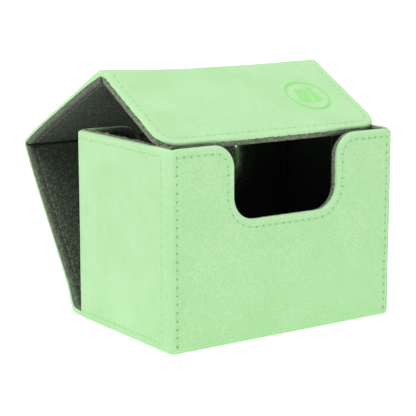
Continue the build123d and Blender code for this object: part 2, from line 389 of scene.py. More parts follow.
def rim_frame(s, z):
    """Inset from the rim or notch edge, and the flat direction out over that edge."""
    edge = [TOP - z, np.zeros_like(s), np.ones_like(s)]
    floor = TOP - NOTCH_DEPTH
    for middle in (FRONT_MID, REAR_MID):
        t = s - middle
        side, t = np.where(t < 0, -1.0, 1.0), np.abs(t)
        dx, dz = t - NOTCH_HALF - SHOULDER, z - TOP + SHOULDER
        far = np.maximum(np.hypot(dx, dz), 1e-6)
        parts = [((dx < 0) & (dz > 0), SHOULDER - far, side * dx / far, dz / far),
                 ((dx < SHOULDER) & (dz <= 0), t - NOTCH_HALF, -side, 0 * t)]
        dx, dz = t - NOTCH_HALF + NOTCH_FLOOR, z - floor - NOTCH_FLOOR
        far = np.maximum(np.hypot(dx, dz), 1e-6)
        parts += [((dx > 0) & (dz < 0), far - NOTCH_FLOOR, -side * dx / far, -dz / far),
                  ((dx <= 0) & (z < floor + NOTCH_FLOOR), floor - z, 0 * t, 0 * t + 1)]
        near = (np.full_like(s, 1e9), *edge[1:])
        for where, *values in parts:
            near = [np.where(where, new, old) for new, old in zip(values, near)]
        use = (t < NOTCH_HALF + SHOULDER + 20) & (near[0] < edge[0])
        edge = [np.where(use, new, old) for new, old in zip(near, edge)]
    return edge


def notch_line(middle, v):
    """The notch's edge moved into the wall by v, left to right, in (s, z)."""
    half, floor, rim = NOTCH_HALF + v, TOP - NOTCH_DEPTH - v, TOP - v
    shoulder, corner = SHOULDER - v, NOTCH_FLOOR + v
    line = arc((-half - shoulder, rim - shoulder), shoulder, 90, 0, 14)
    line += arc((-half + corner, floor + corner), corner, 180, 270, 14)
    line += arc((half - corner, floor + corner), corner, 270, 360, 14)
    line += arc((half + shoulder, rim - shoulder), shoulder, 180, 90, 14)
    return [(middle + a, b) for a, b in line]


def level_run(start, end, z, spacing):
    """A level line with a point at each of the corners' columns, without its first point."""
    stops = [start] + [m for m in COLUMNS if start < m < end] + [end]
    line = []
    for a, b in zip(stops[:-1], stops[1:]):
        line.extend(resample([(a, z), (b, z)], spacing)[1:])
    return line


def level_row(z, spacing):
    """One level line round the perimeter."""
    return [(0.0, z)] + level_run(0.0, PERIMETER, z, spacing)


def rim_row(v, spacing):
    """One line round the whole rim and both notches at inset v."""
    line, start = [(0.0, TOP - v)], 0.0
    for middle in (REAR_MID, FRONT_MID):
        notch = notch_line(middle, v)
        line += level_run(start, notch[0][0], TOP - v, spacing)
        line.extend(resample(notch, spacing)[1:])
        start = notch[-1][0]
    return line + level_run(start, PERIMETER, TOP - v, spacing)


def end_seam(middle, inset):
    """The seam of a notched wall: up one edge, along the rim and notch, down the other."""
    edge, rim = HALF_X - inset, TOP - inset
    line = [(middle - edge, STITCH_INSET), (middle - edge, rim)]
    line += notch_line(middle, inset)
    return line + [(middle + edge, rim), (middle + edge, STITCH_INSET)]


def box_seams(shift):
    """The box's seams moved inwards by shift, in (s, z): front, rear, left and right."""
    # A side's runs along its top, down near its front and along its bottom. The right one is
    # in three runs, cut where the unrolled sheet is.
    low, high = STITCH_INSET + shift, TOP - STITCH_INSET - shift
    left = LEFT_MID + HALF_Y - SIDE_FRONT - shift
    right = PERIMETER - HALF_Y + SIDE_FRONT + shift
    return [end_seam(FRONT_MID, STITCH_INSET + shift),
            end_seam(REAR_MID, STITCH_INSET + shift),
            [(LEFT_START, high), (left, high), (left, low), (LEFT_START, low)],
            [(0.0, high), (FLAT_Y, high)],
            [(0.0, low), (FLAT_Y, low)],
            [(PERIMETER, high), (right, high), (right, low), (PERIMETER, low)]]


def pit_spots(holes):
    """Loose mesh points round each needle hole."""
    ring = arc((0, 0), PIT_RING, 30, 330, 5)
    return [(h[0] + a, h[1] + b) for h in holes for a, b in ring]


def groove_at(points, lines, holes, pit_width=PIT_WIDTH):
    """How deep the sewn groove lies at each flat point, and how much of a needle hole it is,
    which the materials paint dark as shade.
    """
    far = np.min([nearest(points, line) for line in lines], axis=0)
    tree = search_tree(holes)
    hole = np.array([tree.find((p[0], p[1], 0))[2] for p in points])
    uneven = waves(np.pad(points, ((0, 0), (0, 1))), 0.6, 2.3, 0)
    pit_and_shade = bell(hole, pit_width) * np.clip(1.0 + uneven, 0.6, 1)
    groove = bell(far, GROOVE_WIDTH)
    return GROOVE * groove * (0.6 + 0.5 * bell(hole, PUCKER)) + PIT * pit_and_shade, pit_and_shade


seam_lines = box_seams(0.0)
seam_holes = [resample(line, PITCH) for line in seam_lines]


# -------- box leather
rim_profile = Profile([(1.3, 0.0), *arc((RIM_ROUND, RIM_ROUND), RIM_ROUND, 270, 180, 6),
                       (-0.1, LIP - 0.15), (0.05, LIP), (0.6, LIP + 0.12)])
base_profile = Profile([(1.8, 0.0), *arc((BASE_ROUND, BASE_ROUND), BASE_ROUND, 270, 180, 6),
                        (0.25, BASE_ROUND + 1.2)])


def at_rim(z, v):
    """How near the rim a place is, from 0 to 1, and not far down a notch."""
    return ramp(v, RIM_BAND, -RIM_BAND) * (z > TOP - RIM_TOP)


def on_end(s, middle):
    """Whether a place is on the front or rear wall, whichever has that middle."""
    return np.abs(s - middle) < HALF_X


def corner_drop(s, z, v):
    """How much lower the rim lies near the box's four upright corners."""
    drop = np.zeros_like(s)
    for start, depth in zip(CORNER_STARTS, CORNER_DROP):
        drop = drop + depth * bell(s - start - ARC / 2, CORNER_SPREAD)
    return drop * at_rim(z, v)


def crown(s, z, v, out_z):
    """How the leather of the rim rises and falls round the box."""
    far = (s < REAR_START + 2 * FLAT_X) | (s > RIGHT_START)
    return FAR_CROWN * far * np.clip(out_z, 0, 1) * at_rim(z, v) - corner_drop(s, z, v)


def further(s, v, start, reach):
    """Extra depth of the rear wall's turned edge, past the unrolled inset start."""
    return REAR_LIP * on_end(s, REAR_MID) * ramp(v, start, -reach)


def rim_shades(s, v, out_z, bare):
    """Where shade is painted on the box's leather: along the front's turned-over edge, and on
    the rear notch and where it curves round.
    """
    # Painted shade along the front wall's leather where it turns over the rim and the notch.
    lip_shade = on_end(s, FRONT_MID) * np.clip((-v - 0.75 + waves(bare, 0.25, 0.7, 10)) / 0.3, 0, 0.8)
    rear = on_end(s, REAR_MID) * (v < 0.6)
    # Painted shade: a richer green on the sides of the rear notch.
    notch_side_shade = rear * ramp(np.abs(out_z), 0.9, -0.3)
    # Painted shade: dark green where the rear notch's edge curves round.
    shoulder_shade = rear * ramp(out_z, 0.99, -0.15) * ramp(out_z, 0, 0.4)
    return notch_side_shade, np.maximum(lip_shade, 0.75 * shoulder_shade)


def box_skin():
    """The leather round the four walls, turned over the rim and under the base."""
    rim_rows = [rim_row(v, RIM_STEP) for v in rim_profile.v]
    low_rows = [level_row(z, BASE_STEP) for z in base_profile.v]
    loop = rim_rows[-1] + low_rows[-1][::-1]
    rows = rim_rows[:-1] + low_rows[:-1]
    bottom, top = base_profile.v[0], TOP - rim_profile.v[0]
    rows += [resample([(s, bottom), (s, top)], COLUMN_STEP) for s in COLUMNS]
    rows += [resample(line, SEAM_STEP) for shift in SEAM_ROWS for line in box_seams(shift)]
    holes = np.concatenate(seam_holes)
    flat, faces = triangulate(loop, rows, pit_spots(holes), GRID)
    s, z = flat.T
    groove, pit_and_shade = groove_at(flat, seam_lines, holes)
    ends = (np.abs(s - FRONT_MID) < HALF_X - 1) | (np.abs(s - REAR_MID) < HALF_X - 1)
    groove = groove * np.where(ends, 1.0, SIDE_GROOVE)
    pit_and_shade = pit_and_shade * np.where(ends, 1.0, SIDE_PIT)
    v, out_s, out_z = rim_frame(s, z)
    inset, rim_depth = rim_profile.at(v)
    base_inset, base_depth = base_profile.at(z)
    move = v - inset
    s2, z2 = s + out_s * move, base_inset + out_z * move
    depth = rim_depth + base_depth + further(s, v, -0.5, 0.3)
    bare = box_place(s2, z2, depth)
    calm = ramp(np.minimum(v, z), 1.0, 4.0)
    depth = depth + groove + calm * waves(bare, *BOX_WAVE, 1)
    points = box_place(s2, z2 + crown(s, z, v, out_z), depth)
    # Painted shade on the rim and notches; the notch sides take the badge's pressed colour.
    notch_shade, shade = rim_shades(s, v, out_z, bare)
    # More grain contrast on the front wall.
    front_grain = ramp(np.abs(s - FRONT_MID), FLAT_X + ARC, -ARC)
    return weld(build("box_skin", faces, points,
                      {"pit_and_shade": np.maximum(pit_and_shade, shade), "margin": bell(v, 2.2),
                       "pressed_and_notch_shade": notch_shade, "front_grain": front_grain}))


# -------- box lining
well_profile = Profile([(1.2, WALL), *arc((0.75, WALL - WELL_ROUND), WELL_ROUND, 90, 180, 5),
                        (0.08, LIP + 0.15), (0.2, LIP - 0.02), (0.7, LIP - 0.12)])


def lining_proud(s, v, out_z, bare):
    """How far the lining's cut edge stands out over the rim."""
    left = np.abs(s - LEFT_MID) < FLAT_Y
    proud = NOTCH_PROUD * (1 - np.abs(out_z)) * on_end(s, FRONT_MID)
    proud = proud + waves(bare, *NOTCH_RAGGED, 8)
    proud = proud + SIDE_PROUD * left * (1 + waves(bare, *SIDE_RAGGED, 11))
    return proud * ramp(v, 0.9, -0.6)


def box_lining():
    """The lining of the four inner walls, turned over the inner half of the rim."""
    bottom, top = WALL - FLOOR_TUCK, TOP - well_profile.v[0]
    rim_rows = [rim_row(v, RIM_STEP) for v in well_profile.v]
    loop = rim_rows[-1] + level_row(bottom, LEVEL_STEP)[::-1]
    rows = rim_rows[:-1]
    for start in CORNER_STARTS:
        for s in (start - 0.3, start, start + ARC / 2, start + ARC, start + ARC + 0.3):
            rows.append(resample([(s, bottom), (s, top)], GRID))
    for shift in WELL_SEAM_ROWS:
        for middle in (FRONT_MID, REAR_MID):
            rows.append(resample(end_seam(middle, STITCH_INSET + shift), SEAM_STEP))
    holes = np.concatenate(seam_holes[:2])
    flat, faces = triangulate(loop, rows, pit_spots(holes), LINING_GRID)
    s, z = flat.T
    groove, pit_and_shade = groove_at(flat, seam_lines[:2], holes, LINING_PIT_WIDTH)
    v, out_s, out_z = rim_frame(s, z)
    inset, depth = well_profile.at(v)
    depth = depth + further(s, v, -0.9, 0.5)
    move = v - inset
    bare = box_place(s + out_s * move, z + out_z * move, depth)
    move = move + lining_proud(s, v, out_z, bare)
    s2, z2 = s + out_s * move, z + out_z * move - corner_drop(s, z, v)
    bare = box_place(s2, z2, depth)
    ragged = np.where(v < 0, waves(bare, *WELL_RAGGED, 4), 0.0)
    calm = ramp(v, 1.0, 3.0)
    depth = depth - groove * (v > 0.9) + ragged + calm * waves(bare, *WELL_WAVE, 2)
    # Painted shade in the well's four inner corners.
    corner_shade = np.zeros_like(s)
    for start in CORNER_STARTS:
        corner_shade = np.maximum(corner_shade, np.abs(s - start - ARC / 2) < ARC / 2 + 0.4)
    pit_and_shade = np.maximum(pit_and_shade * (v > 0.9), 0.6 * corner_shade * (v > 3.0))
    # Painted shade darker down the well, by the well attribute.
    return weld(build("box_lining", faces, box_place(s2, z2, depth),
                      {"pit_and_shade": pit_and_shade, "margin": bell(np.maximum(v - 0.3, 0), 0.8),
                       "well": ramp(v, 0.8, 7.0)}, flip=True))


def well_floor():
    """The lining sheet on the floor of the well."""
    half_x, half_y = HALF_X - WALL + FLOOR_MARGIN, HALF_Y - WALL + FLOOR_MARGIN
    flat, faces = triangulate(rectangle(half_x, -half_y, half_y), [], [], FLOOR_GRID)
    x, y = flat.T
    edge = np.minimum(half_x - np.abs(x), half_y - np.abs(y))
    bare = np.stack([x, y, 0 * x], axis=1)
    z = WALL + FLOOR_RISE * bell(edge, 1.2) + waves(bare, *FLOOR_WAVE, 3)
    # Painted shade over the whole floor of the well.
    return build("well_floor", faces, np.stack([x, y, z], axis=1), {"well": 0 * x + 1})


# -------- the cover, unrolled
# u runs along the cover from the rear hinge's axis: back panel, top panel, flap
def run_angle(a, b):
    return math.atan2(b[1] - a[1], b[0] - a[0])


angles = [0.0, run_angle(axes[0], axes[1]), run_angle(axes[1], axes[2])]
angles.append(angles[2] + math.radians(joints["flap_fold"]["range_deg"][1]))
FOLD_U = [0.0, float(np.hypot(*(axes[1] - axes[0])))]
FOLD_U.append(FOLD_U[1] + float(np.hypot(*(axes[2] - axes[1]))))
END_U = FOLD_U[2] + FLAP_LENGTH
START_U = -(2 * HALF_Y - 1.0)
LINING_START_U = -2.6
MID_BACK = FOLD_U[1] * 0.5
MID_TOP = (FOLD_U[1] + FOLD_U[2]) / 2


def outward(a):
    return np.stack([np.sin(a), -np.cos(a)], axis=-1)


def settle(x, u):
    """How the propped cover leaves its flat panels, as a shift in (y, z)."""
    # The long flap fold sags a little in the middle of its span
    away = ramp(np.abs(u - FOLD_U[2]), 0, SAG_REACH)
    dip = SAG * (1 - (x / HALF_COVER) ** 2) * np.cos(away * math.pi / 2) ** 2
    shift = -dip[:, None] * outward((angles[2] + angles[3]) / 2)
    # The back and top panels bow outwards, less at the right
    level = 1 - BOW_FADE * ramp(x, 0, HALF_COVER)
    for k, depth in enumerate(BOW):
        t = ramp(u, FOLD_U[k], FOLD_U[k + 1] - FOLD_U[k])
        bow = depth * level * (1 - np.abs(2 * t - 1) ** 4)
        shift = shift + bow[:, None] * outward(angles[k + 1])
    return shift


def cover_place(x, u, height):
    """Points of the cover: x across, u along it, height outside the line of fold axes."""
    x, u, height = (np.asarray(a, float) for a in np.broadcast_arrays(x, u, height))
    yz = np.zeros((len(u), 2))
    panel = np.searchsorted(FOLD_U, u, side="right")
    for k, angle in enumerate(angles):
        fold = max(k - 1, 0)
        run = np.array([math.cos(angle), math.sin(angle)])
        flat = axes[fold] + (u - FOLD_U[fold])[:, None] * run
        flat = flat + height[:, None] * outward(angle)
        yz = np.where((panel == k)[:, None], flat, yz)
    for k, radius in enumerate(FOLD_RADII):
        turn = angles[k + 1] - angles[k]
        reach = radius * math.tan(turn / 2)
        where = np.abs(u - FOLD_U[k]) < reach
        middle = (angles[k] + angles[k + 1]) / 2
        centre = axes[k] - outward(middle) * radius / math.cos(turn / 2)
        a = angles[k] + turn * (u - FOLD_U[k] + reach) / (2 * reach)
        bent = centre + outward(a) * (radius + height)[:, None]
        yz = np.where(where[:, None], bent, yz)
    yz = yz + settle(x, u)
    return np.stack([x, yz[:, 0], yz[:, 1]], axis=1)


def cover_frame(x, u):
    """Inset from the cover's edge, and the flat direction out over it."""
    side, across = np.where(x < 0, -1.0, 1.0), np.abs(x)
    dx, du = across - HALF_COVER + FLAP_CORNER, u - END_U + FLAP_CORNER
    far = np.maximum(np.hypot(dx, du), 1e-6)
    corner = (dx > 0) & (du > 0)
    end = (dx <= 0) & (END_U - u < HALF_COVER - across)
    inset = np.where(end, END_U - u, HALF_COVER - across)
    inset = np.where(corner, FLAP_CORNER - far, inset)
    out_x = np.where(corner, side * dx / far, np.where(end, 0.0, side))
    out_u = np.where(corner, du / far, np.where(end, 1.0, 0.0))
    return inset, out_x, out_u


def side_line(side, inset, start, end):
    return [(side * (HALF_COVER - inset), start), (side * (HALF_COVER - inset), end)]


def flap_line(inset, start):
    """Down one side of the flap, round its end and up the other side."""
    x, radius = HALF_COVER - inset, FLAP_CORNER - inset
    centre_x, centre_u = HALF_COVER - FLAP_CORNER, END_U - FLAP_CORNER
    line = [(-x, start)]
    line += arc((-centre_x, centre_u), radius, 180, 90, 12)
    line += arc((centre_x, centre_u), radius, 90, 0, 12)
    return line + [(x, start)]


SEAM_END = FOLD_REACH + 0.3
panel_seams = {
    "back": [side_line(side, COVER_INSET, SEAM_END, FOLD_U[1] - SEAM_END) for side in (-1, 1)],
    "top": [side_line(side, COVER_INSET, FOLD_U[1] + SEAM_END, FOLD_U[2] - SEAM_END)
            for side in (-1, 1)],
    "flap": [flap_line(COVER_INSET, FOLD_U[2] + SEAM_END)],
}
cover_skin_profile = Profile(
    [(2.0, FOLD_DEPTH),
     *arc((COVER_ROUND, FOLD_DEPTH - COVER_ROUND), COVER_ROUND, 90, 180, 6),
     (0.0, -0.5), (0.12, -0.62), (0.6, -0.6)]
)
cover_lining_profile = Profile(
    [(3.2, FOLD_DEPTH - WALL), (1.6, FOLD_DEPTH - WALL), (0.9, -2.46), (0.45, -2.34),
     (0.15, -2.1), (0.0, -1.7), (-0.08, -1.1), (0.02, -0.7), (0.2, -0.53), (0.6, -0.5)]
)


def fold_lining(u):
    """How deep the lining lies at each place along the cover: thin at the folds."""
    depth = np.full(len(u), WALL - FOLD_DEPTH)
    for place, thin in zip(FOLD_U, FOLD_THIN):
        t = ramp(np.abs(u - place), FOLD_FLAT, FOLD_REACH - FOLD_FLAT)
        depth = np.minimum(depth, thin + (WALL - FOLD_DEPTH - thin) * ease(t))
    return depth


def rounded_box(x, y, width, height, radius):
    """Signed distance from the outline of a rounded rectangle."""
    dx, dy = np.abs(x) - width / 2 + radius, np.abs(y) - height / 2 + radius
    outside = np.hypot(np.maximum(dx, 0), np.maximum(dy, 0))
    return outside + np.minimum(np.maximum(dx, dy), 0) - radius


def badge_at(x, u):
    """How much the badge is pressed in: a ring, and two fanned cards with a gap between."""
    dx, dy = x - BADGE_X, u - FOLD_U[2] - BADGE_U
    ring = np.abs(np.hypot(dx, dy) - BADGE_RADIUS + BADGE_RING / 2) - BADGE_RING / 2
    cards = []
    for side in (1, -1):
        a = math.radians(-side * CARD_TILT)
        cx = dx - side * CARD_SHIFT
        turned = cx * math.cos(a) + dy * math.sin(a), dy * math.cos(a) - cx * math.sin(a)
        cards.append(rounded_box(*turned, *CARD))
    behind = np.maximum(cards[0], BADGE_GAP - cards[1])
    shape = np.minimum(ring, np.minimum(behind, cards[1]))
    return ease(np.clip(0.5 - shape / BADGE_BEVEL, 0, 1))


def badge_spots():
    """Loose mesh points that are dense enough for the badge's edges."""
    reach = BADGE_RADIUS + 1.0
    steps = np.arange(-reach, reach, BADGE_GRID)
    return [(BADGE_X + dx, FOLD_U[2] + BADGE_U + dy) for dx in steps for dy in steps
            if math.hypot(dx, dy) < reach]


def strip_outline(start, end, profile, insets):
    """The outline of one length of the cover, and the rows along it."""
    outer = profile.v[-1]
    inner = [v for v in insets if v != outer]
    half = [HALF_COVER - v for v in insets]
    middle = min(half) - 1.6
    steps = list(np.linspace(-middle, middle, int(2 * middle / GRID)))
    across = sorted([-h for h in half] + steps + half)
    if end >= END_U:
        loop = list(resample(flap_line(outer, start), EDGE_STEP))
        loop += [(x, start) for x in across[::-1]][1:-1]
        return loop, [resample(flap_line(v, start), EDGE_STEP) for v in inner]
    loop = [(x, start) for x in across]
    loop.extend(resample(side_line(1, outer, start, end), EDGE_STEP)[1:-1])
    loop.extend((x, end) for x in across[::-1])
    loop.extend(resample(side_line(-1, outer, end, start), EDGE_STEP)[1:-1])
    rows = [resample(side_line(side, v, start, end), EDGE_STEP)
            for side in (-1, 1) for v in inner]
    return loop, rows


def on_flap(u):
    return ramp(u, FOLD_U[2], 4.0)


def skin_relief(x, u, v, bare, height, groove, pit_and_shade):
    """The cover leather's folds, seams and badge: its height, and where shade is painted."""
    badge = badge_at(x, u)
    upper = ramp(v, -0.9, 1.2)
    for place, bulge in zip(FOLD_U, FOLD_BULGE):
        height = height + bulge * upper * bell(u - place, FOLD_SPREAD)
    spread = np.where(u < FOLD_U[2], *RIDGE_SPREAD)
    rise = RIDGE_END * ramp(x, 0, -HALF_COVER) ** 4
    rise = rise + RIDGE_RISE * (0.5 - x / (2 * HALF_COVER))
    height = height + rise * upper * bell(u - FOLD_U[2], spread)
    ragged = waves(bare, 1.0, 0.7, 9)
    height = height + np.where(v < -0.75, COVER_RAGGED * ragged, 0.0)
    height = height - 0.6 * groove * (v > 1.0) - BADGE_DEPTH * badge
    height = height + ramp(v, 1.5, 4.0) * waves(bare, *COVER_WAVE, 5)
    # Painted shade along the flap's turned-under edge, ragged.
    shade = on_flap(u) * np.clip((-v - 0.5 + 0.45 * ragged) / 0.3, 0, 0.85)
    return height, {"pit_and_shade": np.maximum(0.7 * pit_and_shade * (v > 1.0), shade),
                    "margin": bell(np.maximum(v, 0), 2.6), "pressed_and_notch_shade": badge}


def lining_relief(u, v, bare, height, groove, pit_and_shade):
    """The cover lining's thin folds and seams: its height, and where it is lighter, with painted
    light over all of the back panel.
    """
    limit = fold_lining(u)
    height = np.maximum(height, -limit) + groove * (v > 1.0) * (limit > 1.5)
    height = height + np.where(v < 0.5, waves(bare, *COVER_LINING_RAGGED, 6), 0.0)
    calm = ramp(v, 1.5, 4.0) * (limit > 1.9)
    height = height + calm * waves(bare, *COVER_LINING_WAVE, 7)
    on_back = u < FOLD_U[1]
    light = np.where(on_back, 0.6, 0.75 + 0.25 * on_flap(u))
    # Painted light: the back panel's lining a little lighter all over.
    margin = np.maximum(light * ramp(v, 2.5, -2.4) ** 1.2, 0.1 * on_back)
    return height, {"pit_and_shade": pit_and_shade * (v > 1.0), "margin": margin}


def hinge_slack(points, u, v, out_x, skin):
    """Moves the sheet at the rear hinge: out behind it, wider, and its edge or lining up."""
    slack = HINGE_SLACK[0 if skin else 1]
    raised = ramp(v, 0, -0.7) if skin else 1.0
    points[:, 0] += HINGE_PUFF * out_x * ramp(v, 2.5, -1.0) * bell(u, 5.0)
    points[:, 1] += slack * bell(u - 1.0, np.where(u < 1.0, *HINGE_SPREAD))
    points[:, 2] += HINGE_LIFT * raised * bell(u, 4.0) * (u > -6)


def cover_strip(name, start, end, profile, skin):
    """One length of the cover's leather or lining, as a thin closed sheet."""
    insets = list(profile.v)
    insets += [COVER_INSET + shift for shift in (SEAM_ROWS if skin else SEAM_ROWS[1:-1])]
    loop, rows = strip_outline(start, end, profile, insets)
    reach = HALF_COVER - 4.6
    for place in FOLD_U:
        if start < place < end:
            rows += [resample([(-reach, place + shift), (reach, place + shift)], 1.2)
                     for shift in FOLD_ROWS]
    seams = [line for lines in panel_seams.values() for line in lines
             if any(start < point[1] < end for point in line)]
    holes = [h for line in seams for h in resample(line, PITCH) if start < h[1] < end]
    spots = pit_spots(holes)
    if skin and end >= END_U:
        spots += badge_spots()
    flat, faces = triangulate(loop, rows, spots, GRID)
    x, u = flat.T
    groove, pit_and_shade = groove_at(flat, seams, holes, PIT_WIDTH if skin else LINING_PIT_WIDTH)
    v, out_x, out_u = cover_frame(x, u)
    inset, height = profile.at(v)
    if skin:
        proud = SKIN_PUFF * (1 - on_flap(u))
    else:
        proud = FLAP_PROUD * np.clip((HALF_COVER - x) / 12.0, 0.2, 1) * on_flap(u)
    move = v - inset + proud * ramp(v, 1.0, -0.8)
    x2, u2 = x + out_x * move, u + out_u * move
    bare = cover_place(x2, u2, height)
    if skin:
        height, shades = skin_relief(x, u, v, bare, height, groove, pit_and_shade)
    else:
        height, shades = lining_relief(u, v, bare, height, groove, pit_and_shade)
    points = cover_place(x2, u2, height)
    hinge_slack(points, u, v, out_x, skin)
    return build(name, faces, points, shades, flip=skin)


# -------- thread
def thread_piece(name, seams, place, level, side):
    """Short stitches from hole to hole, lifted off a level of the box or cover to one side."""
    t = np.linspace(0.04, 0.96, THREAD_STEPS)
    arch = np.sin(t * math.pi)
    lift = -THREAD_DIP + (THREAD_DIP + THREAD_RISE) * arch ** 0.5
    size = THREAD * (0.55 + 0.45 * arch ** 0.4)
    turns = [2 * math.pi * m / THREAD_SIDES for m in range(THREAD_SIDES)]
    verts, faces = [], []
    for line in seams:
        fine = resample(line, 0.1)
        tree = search_tree(fine)
        ends = [tree.find((h[0], h[1], 0))[1] for h in resample(line, PITCH)]
        for i0, i1 in zip(ends[:-1], ends[1:]):
            index = i0 + t * (i1 - i0)
            a = np.interp(index, range(len(fine)), fine[:, 0])
            b = np.interp(index, range(len(fine)), fine[:, 1])
            centre = place(a, b, level + side * lift)
            up = place(a, b, level + side * (lift + 1.0)) - centre
            up /= np.linalg.norm(up, axis=1)[:, None]
            along = np.gradient(centre, axis=0)
            along /= np.linalg.norm(along, axis=1)[:, None]
            across = np.cross(along, up)
            first = len(verts)
            for k in range(THREAD_STEPS):
                for turn in turns:
                    offset = across[k] * math.cos(turn) * 1.15 + up[k] * math.sin(turn) * 0.85
                    verts.append(centre[k] + offset * size[k])
            for p in range(first, len(verts) - THREAD_SIDES, THREAD_SIDES):
                for m in range(THREAD_SIDES):
                    n = (m + 1) % THREAD_SIDES
                    faces.append((p + m, p + n, p + n + THREAD_SIDES, p + m + THREAD_SIDES))
            faces.append(tuple(range(first, first + THREAD_SIDES))[::-1])
            faces.append(tuple(range(len(verts) - THREAD_SIDES, len(verts))))
    piece = build(name, faces, np.array(verts), {}, thick=0)
    edit(piece, lambda work: bmesh.ops.recalc_face_normals(work, faces=work.faces))
    return piece


# -------- cover boards
def cover_board(name, start, end):
    """A cover panel's board, with the panel's slight bow or sag."""
    loop = rectangle(HALF_COVER - BOARD_MARGIN, start, end)
    flat, faces = triangulate(loop, [], [], GRID)
    points = cover_place(flat[:, 0], flat[:, 1], BOARD_HEIGHT)
    return build(name, faces, points, {}, thick=BOARD_THICK, flip=True)


# -------- material nodes
class Nodes:
    """Shorthand for a material's nodes. Each call gives the output that the next one needs."""

    def __init__(self, name):
        self.material = bpy.data.materials.new(name)
        self.material.use_nodes = True
        self.tree = self.material.node_tree
        self.tree.nodes.clear()
        self.shader = self.tree.nodes.new("ShaderNodeBsdfPrincipled")
        out = self.tree.nodes.new("ShaderNodeOutputMaterial")
        self.feed(out, "Surface", self.shader.outputs["BSDF"])

    def feed(self, node, key, value):
        """Links an output to a node's input, or sets the input to a number or a colour."""
        if isinstance(value, bpy.types.NodeSocket):
            self.tree.links.new(value, node.inputs[key])
        else:
            node.inputs[key].default_value = (*value, 1.0) if isinstance(value, tuple) else value

    def add(self, kind, output, inputs, **settings):
        node = self.tree.nodes.new(kind)
        for key, value in settings.items():
            setattr(node, key, value)
        for key, value in inputs.items():
            self.feed(node, key, value)
        return node.outputs[output]

    def attribute(self, key, output="Fac"):
        return self.add("ShaderNodeAttribute", output, {}, attribute_name=key)

    def place(self):
        return self.add("ShaderNodeTexCoord", "Object", {})

    def noise(self, place, scale, detail=3.0, rough=0.6):
        return self.add("ShaderNodeTexNoise", "Fac", {
            "Vector": place, "Scale": scale, "Detail": detail, "Roughness": rough})

    def span(self, value, low, high, to_low=0.0, to_high=1.0):
        return self.add("ShaderNodeMapRange", "Result", {
            "Value": value, "From Min": low, "From Max": high,
            "To Min": to_low, "To Max": to_high})

    def mix(self, share, under, over):
        return self.add("ShaderNodeMix", 2, {0: share, 6: under, 7: over}, data_type="RGBA")

    def layer(self, value, low, high, share, under, over):
        """Lays one colour over another, up to a share, as a value goes from low to high."""
        return self.mix(self.span(value, low, high, 0.0, share), under, over)

    def tint(self, key, share, under, over):
        """Lays one colour over another as a mesh attribute goes from 0 to 1."""
        return self.layer(self.attribute(key), 0.0, 1.0, share, under, over)

    def bump(self, height, strength, distance, under=None):
        inputs = {"Strength": strength, "Distance": distance, "Height": height}
        if under:
            inputs["Normal"] = under
        return self.add("ShaderNodeBump", "Normal", inputs)

    def finish(self, **values):
        for key, value in values.items():
            self.feed(self.shader, key.replace("_", " "), value)
        return self.material


MINT_DARK, MINT_LIGHT = (0.428, 0.735, 0.368), (0.512, 0.795, 0.458)
MINT_SPOT = (0.545, 0.84, 0.485)
MINT_FLECK = (0.385, 0.715, 0.32)
MINT_NAP = (0.60, 0.885, 0.54)
GRIT_LIGHT, GRIT_DARK = (0.540, 0.850, 0.480), (0.358, 0.712, 0.300)
MINT_MARGIN = (0.52, 0.835, 0.46)
# The badge's pressed colour, also used as painted shade on the rear notch's sides.
MINT_PRESSED_AND_SHADE = (0.335, 0.80, 0.262)
# Painted shade for needle holes and shaded turned-over edges.
MINT_PAINTED_SHADE = (0.07, 0.18, 0.035)
MINT_SHEEN = (0.8, 1.0, 0.78)
SUEDE_DARK, SUEDE_LIGHT = (0.043, 0.062, 0.041), (0.064, 0.087, 0.059)
SUEDE_FIBRE = (0.155, 0.185, 0.135)
SUEDE_DOT = (0.010, 0.015, 0.009)
EDGE_DARK, EDGE_LIGHT = (0.115, 0.138, 0.100), (0.285, 0.320, 0.238)
# Painted shade down in the well.
SUEDE_WELL_SHADE = (0.015, 0.022, 0.015)
# Painted shade in needle holes and in the well's corners.
SUEDE_PAINTED_SHADE = (0.004, 0.005, 0.003)
BOARD_DARK, BOARD_LIGHT = (0.36, 0.35, 0.32), (0.48, 0.47, 0.43)
BOARD_SPECK = (0.2, 0.19, 0.17)
NICKEL_DARK, NICKEL_LIGHT = (0.62, 0.61, 0.58), (0.74, 0.73, 0.71)
FLOOR_DARK, FLOOR_LIGHT = (0.93,) * 3, (0.95,) * 3
WHITE = (1.0,) * 3


